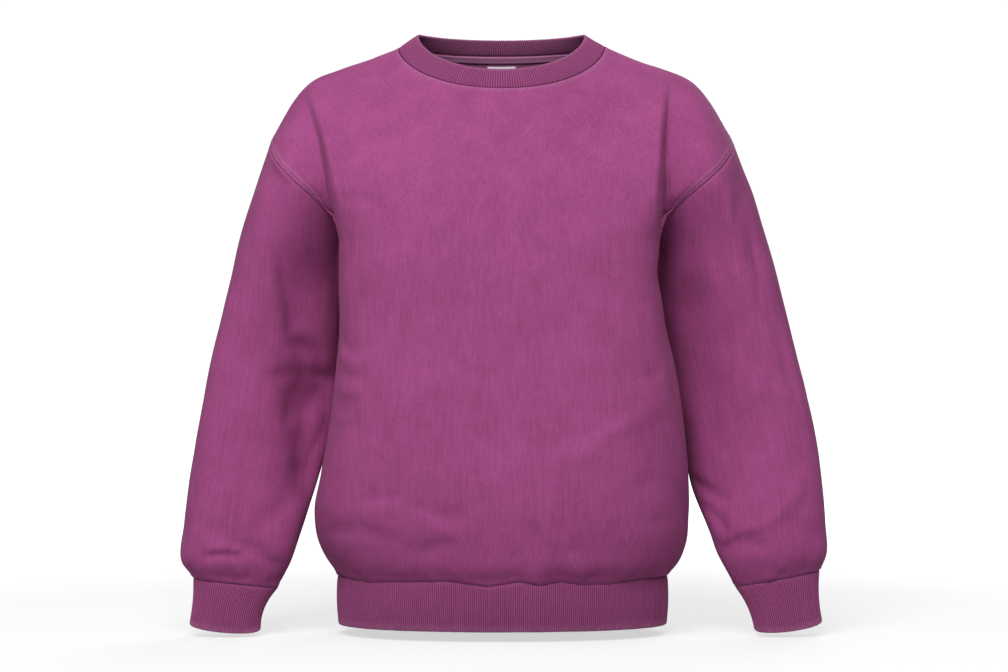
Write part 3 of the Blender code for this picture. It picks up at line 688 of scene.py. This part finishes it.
def seam_form(points, distance, name, seed):
    """Relief of the cloth along a seam, and how pale it is there: abrasion, and at the hem and cuffs a
    painted highlight.
    """
    reliefs, rubs_and_highlights, puckers = SEAMS[name]
    relief = bumps(distance, reliefs) * MM
    for number, (height, pitch, peak) in enumerate(puckers):
        grown = distance / (peak * MM) * np.exp(1 - distance / (peak * MM))
        size = (pitch * MM, pitch * MM, GATHER_LENGTH)
        relief += height * MM * (waves(points, size, seed + number) * grown)
    return np.stack([relief, bumps(distance, rubs_and_highlights)])


def panel_relief(points, seed):
    """Relief of the front or back along its seams, and where it is paler: abrasion, with a painted highlight
    along the hem seam.
    """
    from_hem, from_top, from_side = seam_distances(points, False)
    form, armhole = (seam_form(points, from_side, name, seed) for name in ("side", "armhole"))
    armhole[0] += plateau(from_side, *ALLOWANCE)
    armhole[0] += waves(points, PUCKER_SIZE, seed) * plateau(from_side, *PUCKERS)
    form[:, BODY_CELLS + 1:] = armhole[:, BODY_CELLS + 1:]
    form[0] += plateau(from_top, *NECK_ALLOWANCE)
    return form + seam_form(points, from_hem, "hem", seed + 1) + seam_form(points, from_top, "top", seed + 3)


def sleeve_relief(points, seed):
    """Relief of a sleeve along its seams, and where it is paler: abrasion, with a painted highlight along the
    cuff seam.
    """
    from_armhole, from_cuff, _ = seam_distances(points, True)
    armhole = seam_form(points, from_armhole, "sleeve_top", seed)
    return armhole + seam_form(points, from_cuff, "cuff", seed + 1)


def body_and_sleeves():
    """The four fleece pieces, folded and creased: a grid of points, whether it is a ring, and the sign that
    turns its normals outwards."""
    pieces = {
        "front": (panel(FRONT), False, 1),
        "back": (panel(BACK), False, -1),
        "sleeve_right": (sleeve(RIGHT), True, 1),
        "sleeve_left": (sleeve(LEFT), True, -1),
    }
    normals = outward(pieces)
    for name, (points, ring, flip) in pieces.items():
        push = fold_push(points, normals[name], FOLDS)
        tuck = fold_push(points, normals[name], TUCKS, TUCK_FADE) * FRONT
        pieces[name] = (points + normals[name] * push[..., None] + tuck[..., None] * [0, 1, 0], ring, flip)
    normals = outward(pieces)
    for name, (points, ring, flip) in pieces.items():
        edge = np.minimum.reduce(seam_distances(points, ring))
        table = [(facing, *row) for (piece, facing), rows in CREASES.items() if piece == name for row in rows]
        push = fold_push(points, normals[name], table, wander=WANDER) * ease(edge, 0, CREASE_EDGE)
        for height, across, up, seed in SWELLS:
            push += height * MM * waves(points, (across * MM, across * MM, up * MM), seed)
        pieces[name] = (points + normals[name] * push[..., None], ring, flip)
    return pieces


def step_in(edge, neighbour, out, ring):
    """The move of a seam edge's points towards their neighbours that opens half a gap across the seam. The
    cut through the wall runs along the seam and out of the cloth."""
    inward = unit(neighbour - edge)
    run = np.roll(edge, -1, axis=0) - np.roll(edge, 1, axis=0) if ring else np.gradient(edge, axis=0)
    slant = np.abs(np.sum(inward * unit(np.cross(run, out)), axis=-1, keepdims=True))
    return inward * SEAM_GAP / 2 / np.maximum(slant, SLANT_LEAST)


def drawn_back(points, normals, ring):
    """Which way each point of a grid's seam edges moves to open half of the gap to its neighbour."""
    move = np.zeros_like(points)
    for edge, within in ((0, 1), (-1, -2)):
        move[edge] += step_in(points[edge], points[within], normals[edge], ring)
        if not ring:
            move[:, edge] += step_in(points[:, edge], points[:, within], normals[:, edge], False)
    return move


def quads(index):
    return np.stack([index[:-1, :-1], index[:-1, 1:], index[1:, 1:], index[1:, :-1]], axis=-1).reshape(-1, 4)


def add_object(name, data):
    made = bpy.data.objects.new(name, data)
    bpy.context.scene.collection.objects.link(made)
    return made


def add_piece(name, verts, faces, cloth, values, material):
    """A smooth mesh object. cloth is each point's place on the flat cloth, and values are named numbers
    at each point that its material reads."""
    mesh = bpy.data.meshes.new(name)
    mesh.from_pydata(verts.tolist(), [], faces.tolist())
    mesh.shade_smooth()
    corner_points = np.empty(len(mesh.loops), dtype=np.int32)
    mesh.loops.foreach_get("vertex_index", corner_points)
    layer = mesh.uv_layers.new(name="cloth")
    layer.data.foreach_set("uv", cloth[corner_points].astype(np.float32).ravel())
    for key, numbers in values.items():
        attribute = mesh.attributes.new(key, "FLOAT", "POINT")
        attribute.data.foreach_set("value", numbers.astype(np.float32).ravel())
    mesh.materials.append(material)
    return add_object(name, mesh)


def flat_places(points, ring):
    """Where each point of a grid lies on the flat cloth: along its row from the middle, and up its column."""
    across = run_along(closed(points, ring), 1)
    across = across - across[:, -1:] / 2
    return np.stack([across[:, :points.shape[1]], run_along(points, 0)], axis=-1)


def add_shell(name, points, ring, flip, normals, relief, wear_and_highlight, material, wall=FLEECE):
    """A closed shell of cloth: its outside with all relief, and its inside one wall deeper."""
    rows, columns = points.shape[:2]
    move = drawn_back(points, normals, ring)
    outer = points + normals * relief[..., None] + move
    inner = points - normals * wall + move
    index = closed(np.arange(rows * columns).reshape(rows, columns), ring)
    offset = rows * columns
    faces = [quads(index), quads(index)[:, ::-1] + offset]
    rims = [index[0, ::-1], index[-1]]
    if not ring:
        rims += [index[:, 0], index[::-1, -1]]
    for rim in rims:
        faces.append(np.stack([rim[:-1], rim[1:], rim[1:] + offset, rim[:-1] + offset], axis=-1))
    faces = np.concatenate(faces)[:, ::flip]
    verts = np.concatenate([outer.reshape(-1, 3), inner.reshape(-1, 3)])
    cloth = flat_places(points, ring).reshape(-1, 2)
    values = {
        # Pale abrasion on the outside, with a painted highlight at the hem and cuff seams
        "wear_and_highlight": np.concatenate([wear_and_highlight.ravel(), np.zeros(offset)]),
        "inside": np.concatenate([np.zeros(offset), np.ones(offset)]),
    }
    return add_piece(name, verts, faces, np.concatenate([cloth, cloth]), values, material), outer


def through(lines, knots, place):
    """Points between matching lines at a place, on a straight line or parabola through their points."""
    total = np.zeros_like(lines[0])
    for number, line in enumerate(lines):
        others = np.delete(knots, number)
        total += line * np.prod((place - others) / (knots[number] - others))
    return total


def add_band(name, loops, flip, material, belly=0.0):
    """A doubled band of rib knit through closed loops from its seam to its folded edge: ribs on its
    outside, round its edge and, shallower, on its inside."""
    ribs, outer_rows, roll_rows, inner_rows = BANDS[name]
    count = ribs * RIB_STEPS
    shares = np.arange(count) / count
    lines = [along(looped(loop), shares) for loop in loops]
    spans = [np.linalg.norm(b - a, axis=1).mean() for a, b in zip(lines, lines[1:])]
    knots = np.r_[0, np.cumsum(spans)] / sum(spans)
    half_wall = RIB_WALL / 2
    last = 1 - (half_wall + RIB_RAISE / 2) / sum(spans)
    places = np.linspace(SEAM_GAP / sum(spans), last, outer_rows)
    face = np.stack([through(lines, knots, place) for place in places])
    out = outward({name: (face, True, flip)})[name]
    face = face + out * (belly * np.sin(np.pi * places))[:, None, None]
    depth = (places * sum(spans))[:, None]
    rib = np.random.default_rng(SEEDS[name]).uniform(*RIB_UNEVEN, ribs).repeat(RIB_STEPS)
    phase = 2 * np.pi * np.arange(count) / RIB_STEPS
    sway = RIB_SWAY * waves(face, RIB_WAVE, SWAY_SEED)
    top = (0.5 + 0.5 * np.cos(phase + sway)) ** RIB_BLUNT
    height = (top * rib - 0.5) * RIB_RAISE - BAND_DIP * bump(depth, 0, BAND_DIP_REACH)
    outer = face + out * height[..., None]
    down = unit(face[-1] - face[-2])
    middle = face[-1] - out[-1] * half_wall
    rows, tops = [*outer], [*top]
    for turn in np.linspace(0, np.pi, roll_rows + 2)[1:-1]:
        way = out[-1] * np.cos(turn) + down * np.sin(turn)
        shallower = 1 - (1 - RIB_INSIDE) * turn / np.pi
        rows.append(middle + way * (half_wall + height[-1][:, None] * shallower))
        tops.append(top[-1])
    for row in np.linspace(outer_rows - 1, 0, inner_rows).round().astype(int):
        rows.append(face[row] - out[row] * (RIB_WALL + RIB_INSIDE * height[row][:, None]))
        tops.append(top[row])
    rows, tops = np.stack(rows), np.stack(tops)
    index = looped(np.arange(len(rows) * count).reshape(-1, count))
    faces = quads(closed(index, True))[:, ::flip]
    edge = np.zeros(len(rows))
    edge[outer_rows - 1:outer_rows + roll_rows] = 1
    edge[outer_rows - 2] = 0.5
    inside = (np.arange(len(rows)) >= outer_rows + roll_rows).astype(float)
    values = {"rib": tops, "wear_and_highlight": edge.repeat(count), "inside": inside.repeat(count)}
    cloth = flat_places(rows, True).reshape(-1, 2)
    return add_piece(name, rows.reshape(-1, 3), faces, cloth, values, material)


def line_at(points, normals, distance):
    """Points and normals at one distance along each row of a grid."""
    lines = zip(run_along(points, 1), points, normals)
    place, way = zip(*([points_at(distance, knots, line) for line in pair] for knots, *pair in lines))
    return np.array(place), unit(np.array(way))


def stitches(lines, material, name):
    """Rows of stitches along lines of points and normals: each a short, thick thread end to end."""
    around = np.linspace(0, 2 * np.pi, STITCH_SIDES + 1)[:-1]
    template = np.array([[x, r * np.cos(a), r * np.sin(a)] for x, r in STITCH_RINGS for a in around])
    size = len(template)
    index = closed(np.arange(size).reshape(-1, STITCH_SIDES), True)
    verts, faces = [], []
    for points, normals in lines:
        total = run_along(points, 0)
        count = int(total[-1] / STITCH)
        centres = (np.arange(count) + 0.5) * total[-1] / count
        place = points_at(centres, total, points)
        out = unit(points_at(centres, total, normals))
        run = unit(points_at(centres + STITCH / 3, total, points) - place)
        aside = np.cross(out, run)
        offset = sum(len(made) for made in verts)
        made = (
            place[:, None]
            + run[:, None] * template[:, :1] * STITCH * STITCH_FILL
            + aside[:, None] * template[:, 1:2] * THREAD
            + out[:, None] * (template[:, 2:] * THREAD_FLAT + THREAD_RISE) * THREAD
        )
        verts.append(made.reshape(-1, 3))
        faces.append((quads(index)[None] + (np.arange(count) * size)[:, None, None]).reshape(-1, 4) + offset)
    verts, faces = np.concatenate(verts), np.concatenate(faces)
    return add_piece(name, verts, faces, verts[:, :2], {}, material)


class Nodes:
    """The node tree of a material or a world, with one call to add a node and join its inputs."""

    def __init__(self, owner):
        owner.use_nodes = True
        self.owner = owner
        self.tree = owner.node_tree

    def add(self, kind, inputs=(), **settings):
        node = self.tree.nodes.new(kind)
        for key, value in settings.items():
            setattr(node, key, value)
        self.put(node, dict(inputs))
        return node

    def put(self, node, inputs):
        for key, value in inputs.items():
            if isinstance(value, bpy.types.NodeSocket):
                self.tree.links.new(value, node.inputs[key])
            else:
                node.inputs[key].default_value = value

    def shade(self, inputs):
        self.put(self.tree.nodes["Principled BSDF"], inputs)

    def noise(self, vector, scale, detail, roughness):
        return self.add("ShaderNodeTexNoise", {
            "Vector": vector, "Scale": scale, "Detail": detail, "Roughness": roughness,
        }).outputs["Fac"]

    def math(self, operation, a, b=0.0, c=0.0):
        return self.add("ShaderNodeMath", {0: a, 1: b, 2: c}, operation=operation).outputs[0]

    def ramp(self, value, low, high, to_low=0.0, to_high=1.0):
        return self.add("ShaderNodeMapRange", {
            "Value": value, "From Min": low, "From Max": high, "To Min": to_low, "To Max": to_high,
        }).outputs["Result"]

    def mix(self, factor, a, b):
        return self.add("ShaderNodeMix", {0: factor, 6: a, 7: b}, data_type="RGBA").outputs[2]

    def bumps(self, height, strength, distance):
        inputs = {"Height": height, "Strength": strength, "Distance": distance}
        return self.add("ShaderNodeBump", inputs).outputs["Normal"]

    def value(self, name):
        return self.add("ShaderNodeAttribute", attribute_name=name).outputs["Fac"]

    def place(self):
        return self.add("ShaderNodeTexCoord").outputs["Object"]

    def stretched(self, vector, scale):
        return self.add("ShaderNodeMapping", {"Vector": vector, "Scale": scale}).outputs["Vector"]

    def camera_ray(self):
        return self.add("ShaderNodeLightPath").outputs["Is Camera Ray"]


def knit_material(name, rib=False, shade=1.0, upright=False):
    """Garment-dyed cotton: mottled, streaked along its wales, paler where it is abraded, with a painted
    highlight at the hem and cuff seams, paler inside (brushed, and with painted light), and matte. On ribs it
    has painted shade in the valleys and a painted highlight on the tops, and shade darkens all its colours as
    painted shade. The wales run along the flat cloth or, where upright, straight down."""
    nodes = Nodes(bpy.data.materials.new(name))
    # shade darkens every colour: painted shade, used on the neckband
    base, deep, pale = ([part * shade for part in colour] for colour in (PLUM, PLUM_DEEP, PLUM_PALE))
    place = nodes.place()
    cloth = nodes.add("ShaderNodeUVMap", uv_map="cloth").outputs["UV"]
    across, lengthwise = WALE_STRETCH
    run = nodes.stretched(cloth, (across, lengthwise, 1))
    if upright:
        run = nodes.stretched(place, (across, across, lengthwise))
    tone = 0.0
    for where, (scale, detail, roughness, low, high, share) in zip((place, place, run, place), TONES):
        grain = nodes.ramp(nodes.noise(where, scale, detail, roughness), low, high)
        tone = nodes.math("MULTIPLY_ADD", grain, share, tone)
    colour = nodes.mix(tone, (*deep, 1), (*base, 1))
    # Paler on the inside: brushed cloth, and painted light that lifts the shaded inside of the neck
    colour = nodes.mix(nodes.math("MULTIPLY", nodes.value("inside"), INSIDE_PALE_AND_PAINTED_LIGHT), colour, (*pale, 1))
    # Paler in patches along seams and the bands' folded edges: abrasion, with a painted highlight at the hem
    # and cuff seams
    patches = nodes.ramp(nodes.noise(place, *PATCHES), *PATCH_RANGE)
    rub_and_highlight = nodes.math("MULTIPLY", nodes.value("wear_and_highlight"), patches)
    if rib:
        # Painted shade in the ribs' valleys, darker than the deepest dye, and a painted highlight on their
        # tops
        valley_painted_shade = [part * VALLEY_PAINTED_SHADE for part in deep]
        colour = nodes.mix(nodes.ramp(nodes.value("rib"), 0.1, 0.95, 1.0, 0.0), colour, (*valley_painted_shade, 1))
        tops = nodes.ramp(nodes.value("rib"), 0.55, 1)
        rub_and_highlight = nodes.math("MULTIPLY_ADD", tops, TOP_PAINTED_HIGHLIGHT, nodes.math("MULTIPLY", rub_and_highlight, BAND_PALE))
    knit = nodes.noise(nodes.stretched(cloth, KNIT_STRETCH), 1, 2, 0.6)
    nodes.shade({
        "Base Color": nodes.mix(nodes.math("MULTIPLY", rub_and_highlight, RUB_AND_HIGHLIGHT_PALE), colour, (*pale, 1)),
        "Roughness": nodes.ramp(grain, 0, 1, 0.86, 0.98),
        "Normal": nodes.bumps(nodes.math("MULTIPLY_ADD", grain, 0.5, knit), *KNIT_BUMP),
        "Specular IOR Level": 0.15, "Sheen Weight": 0.06, "Sheen Roughness": 0.5, "Sheen Tint": SHEEN,
    })
    return nodes.owner


def plain_material(name, colour, dark):
    """A plain woven cloth or thread with a fine grain."""
    nodes = Nodes(bpy.data.materials.new(name))
    grain = nodes.ramp(nodes.noise(nodes.place(), 900, 3, 0.7), 0.3, 0.7)
    nodes.shade({
        "Base Color": nodes.mix(grain, (*dark, 1), (*colour, 1)), "Roughness": 0.85,
        "Normal": nodes.bumps(grain, *PLAIN_BUMP), "Specular IOR Level": 0.3,
    })
    return nodes.owner


def inside_strip(points, normals, depths, gap):
    """A strip on the inside of the back panel: its rows at depths under the top line, and their normals."""
    points, normals = (grid[::-1].swapaxes(0, 1) for grid in (points, normals))
    rows = [line_at(points, normals, depth) for depth in depths]
    return np.stack([place - way * (FLEECE + gap) for place, way in rows]), np.stack([way for _, way in rows])


def sewn(piece, node):
    """A cut piece of cloth hung on the garment's root in place of its solid, which is hidden."""
    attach(piece, "root")
    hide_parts(node)


def add_softbox(name, middle, aim, size, power):
    """A large soft lamp that faces a point."""
    lamp = bpy.data.lights.new(name, "AREA")
    lamp.shape = "DISK"
    lamp.size = size
    lamp.energy = power
    made = add_object(name, lamp)
    made.location = middle
    made.rotation_euler = (Vector(aim) - Vector(middle)).to_track_quat("-Z", "Y").to_euler()
    made.visible_camera = False


def add_surroundings():
    """A large floor that is plain white away from the garment, a white studio that lights evenly, and two
    soft lamps."""
    scene = bpy.context.scene
    scene.view_settings.view_transform = "Standard"
    mesh = bpy.data.meshes.new("floor")
    corners = [(-1, -1), (1, -1), (1, 1), (-1, 1)]
    mesh.from_pydata([(x * FLOOR_HALF, y * FLOOR_HALF, FLOOR_Z) for x, y in corners], [], [(0, 1, 2, 3)])
    nodes = Nodes(bpy.data.materials.new("floor"))
    away = nodes.add("ShaderNodeVectorMath", {0: nodes.place()}, operation="LENGTH").outputs["Value"]
    nodes.shade({
        "Base Color": FLOOR_GREY, "Roughness": 0.9, "Specular IOR Level": 0, "Emission Color": WHITE,
        "Emission Strength": nodes.math("MULTIPLY", nodes.camera_ray(), nodes.ramp(away, *FLOOR_GLOW)),
    })
    mesh.materials.append(nodes.owner)
    floor = add_object("floor", mesh)

    nodes = Nodes(bpy.data.worlds.new("studio"))
    strength = nodes.ramp(nodes.camera_ray(), 0, 1, AMBIENT, BACKGROUND)
    nodes.put(nodes.tree.nodes["Background"], {"Color": WHITE, "Strength": strength})
    scene.world = nodes.owner
    add_softbox("key", *KEY)
    add_softbox("behind", *BEHIND)


def add_camera():
    camera = bpy.data.cameras.new("camera")
    camera.lens, camera.sensor_width, place = CAMERA
    camera.clip_start = 0.1
    camera.clip_end = 60
    made = add_object("camera", camera)
    made.location = place
    made.rotation_euler = (np.pi / 2, 0, 0)
    bpy.context.scene.camera = made


def add_fleece(pieces, normals):
    """The four fleece pieces, and the grids of their outsides."""
    body_fleece = knit_material("fleece", upright=True)
    sleeve_fleece = knit_material("sleeve_fleece")
    made, faces = {}, {}
    for name, (points, ring, flip) in pieces.items():
        # The second grid is pale abrasion along the seams, with a painted highlight at the hem and cuff seams
        relief, wear_and_highlight = (sleeve_relief if ring else panel_relief)(points, SEEDS[name])
        cloth = sleeve_fleece if ring else body_fleece
        made[name], faces[name] = add_shell(
            f"{name}_cloth", points, ring, flip, normals[name], relief, wear_and_highlight, cloth
        )
    return made, faces


def add_bands(pieces):
    """The bands, from the edges of the fleece that they are sewn to."""
    rib = knit_material("rib", rib=True)
    # A darker copy of the rib for the neckband: painted shade
    neck_rib_painted_shade = knit_material("neck_rib_painted_shade", rib=True, shade=NECK_PAINTED_SHADE)
    front, back = pieces["front"][0], pieces["back"][0]
    neck_seam = joined_loop(front[-1, neck_cells(FRONT)], back[-1, neck_cells(BACK)])
    neck = [neck_seam, *(neck_loop(loop, LOOP_TURNS) for loop in (NECK_MIDDLE, NECK_EDGE))]
    hem_edge = joined_loop(*(body_half(facing, HEM_EDGE, HEM_EDGE_Z, HALF_RING) for facing in (FRONT, BACK)))
    hem = [joined_loop(front[0], back[0]), hem_edge]
    sewn(add_band("hem_band", hem, -1, rib, HEM_BELLY), "hem_band")
    sewn(add_band("neckband", neck, 1, neck_rib_painted_shade), "neckband")
    for hand, side, flip in (("right", RIGHT, 1), ("left", LEFT, -1)):
        rings = [sleeve_ring(side, row, 0, tip) for row, tip in zip(CUFFS[side], CUFF_TIPS)]
        loops = [pieces[f"sleeve_{hand}"][0][-1], *rings]
        sewn(add_band(f"cuff_{hand}", loops, flip, rib), f"cuff_{hand}")


def add_stitches(faces, normals):
    """Two rows of stitches round each armhole, on the body, and two round the neck."""
    thread = plain_material("thread", *THREAD_COLOURS)
    lines = {"right": [], "left": [], "neck": []}
    for name, facing in (("front", FRONT), ("back", BACK)):
        points, out = faces[name][BODY_CELLS:], normals[name][BODY_CELLS:]
        for row in STITCH_ROWS:
            for side, turn in (("right", 1), ("left", -1)):
                place, way = line_at(points[:, ::turn], out[:, ::turn], row)
                seen = run_along(place, 0) > (STITCH_END if facing == FRONT else 0)
                lines[side].append((place[seen], way[seen]))
        neck, neck_out = (grid[name][::-1, neck_cells(facing)].swapaxes(0, 1) for grid in (faces, normals))
        for row in NECK_STITCH_ROWS:
            lines["neck"].append(line_at(neck, neck_out, row))
    made = []
    for name, rows in lines.items():
        piece = stitches(rows, thread, f"stitches_{name}")
        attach(piece, "root")
        made.append(piece)
    return made


def add_neck_trim(back, normals):
    """The tape and the label inside the back neck, from the neck's columns of the back panel."""
    tape = inside_strip(back, normals, np.linspace(TAPE_FROM, TAPE_TO, TAPE_ROWS), SEAM_GAP)
    middle = NECK_CELLS[BACK] // 2
    near = slice(middle - LABEL_COLUMNS, middle + LABEL_COLUMNS + 1)
    depths = np.linspace(LABEL_TOP, LABEL_TOP + LABEL_HEIGHT, LABEL_ROWS)
    strip, ways = inside_strip(back[:, near], normals[:, near], depths, 2 * SEAM_GAP)
    centre = strip[:, LABEL_COLUMNS:LABEL_COLUMNS + 1]
    scale = LABEL_HALF / np.abs(strip[:, -1:, 0] - centre[..., 0])
    label = (centre + (strip - centre) * scale[..., None], ways)
    trims = [
        ("tape", "neck_tape", TAPE_COLOURS, *tape),
        ("label", "label", LABEL_COLOURS, *label),
    ]
    for name, node, colours, points, out in trims:
        flat = np.zeros(points.shape[:2])
        material = plain_material(name, *colours)
        piece, _ = add_shell(f"{name}_cloth", points, False, 1, out, flat, flat, material, TRIM_WALL)
        sewn(piece, node)


def main():
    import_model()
    pieces = body_and_sleeves()
    normals = outward(pieces)
    made, faces = add_fleece(pieces, normals)
    add_bands(pieces)
    trim = add_stitches(faces, normals)
    for name in pieces:
        sewn(made[name], name)
    columns = neck_cells(BACK)
    add_neck_trim(pieces["back"][0][:, columns], normals["back"][:, columns])
    add_surroundings()
    add_camera()


main()
